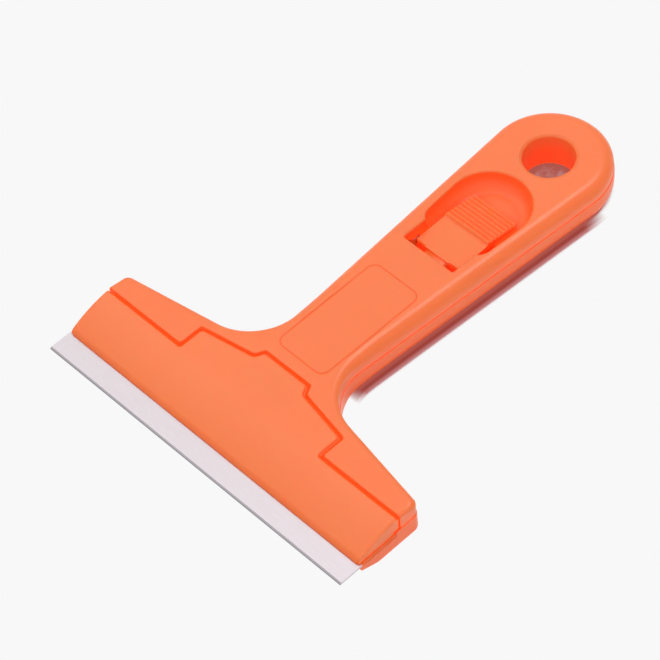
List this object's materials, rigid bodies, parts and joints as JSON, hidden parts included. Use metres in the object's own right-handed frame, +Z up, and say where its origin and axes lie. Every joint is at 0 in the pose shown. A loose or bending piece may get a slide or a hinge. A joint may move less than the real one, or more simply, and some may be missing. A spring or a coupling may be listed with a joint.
{
  "type": "paint scraper",
  "caption": "Hand-held paint and window scraper: a wide replaceable blade held by a hinged clamp jaw, locked by a thumb slider in a tapered plastic handle with a hanging hole.",
  "frame": {"origin": "middle of the length (blade edge to handle end) and of the width, at the height of the surface that the scraper lies on", "axes": "+Y from the blade's edge towards the handle's end, +X along the blade, +Z up out of the face that carries the thumb slider"},
  "size_m": [0.1, 0.138, 0.0108],
  "materials": {
    "orange_plastic": "satin moulded plastic, fine mould texture",
    "blade_steel": "ground and lightly brushed along its length",
    "spring_steel": "drawn bright spring steel",
    "zinc_plated_steel": "bright zinc plate"
  },
  "bodies": {
    "body": {"upper_shell": "orange_plastic", "lower_shell": "orange_plastic", "hinge_pin": "spring_steel", "torsion_spring": "spring_steel", "blade": "blade_steel", "detent_spring_left": "spring_steel", "detent_spring_right": "spring_steel", "shell_screw_wing_left": "zinc_plated_steel", "shell_screw_wing_right": "zinc_plated_steel", "shell_screw_neck_left": "zinc_plated_steel", "shell_screw_neck_right": "zinc_plated_steel", "shell_screw_rear_left": "zinc_plated_steel", "shell_screw_rear_right": "zinc_plated_steel"},
    "jaw": {"clamp_jaw": "orange_plastic"},
    "slider": {"lock_slider": "orange_plastic"}
  },
  "joints": [
    {"name": "slider_slide", "type": "slide", "parent": "body", "child": "slider", "axis": [0, 1, 0], "range_m": [0, 0.0035]},
    {"name": "jaw_hinge", "type": "hinge", "parent": "body", "child": "jaw", "pos_m": [0, -0.0445, 0.0062], "axis": [-1, 0, 0], "range_deg": [0, 5]}
  ],
  "couplings": [
    {"joint": "jaw_hinge", "follows": "slider_slide", "rad_per_m": 24.9}
  ]
}
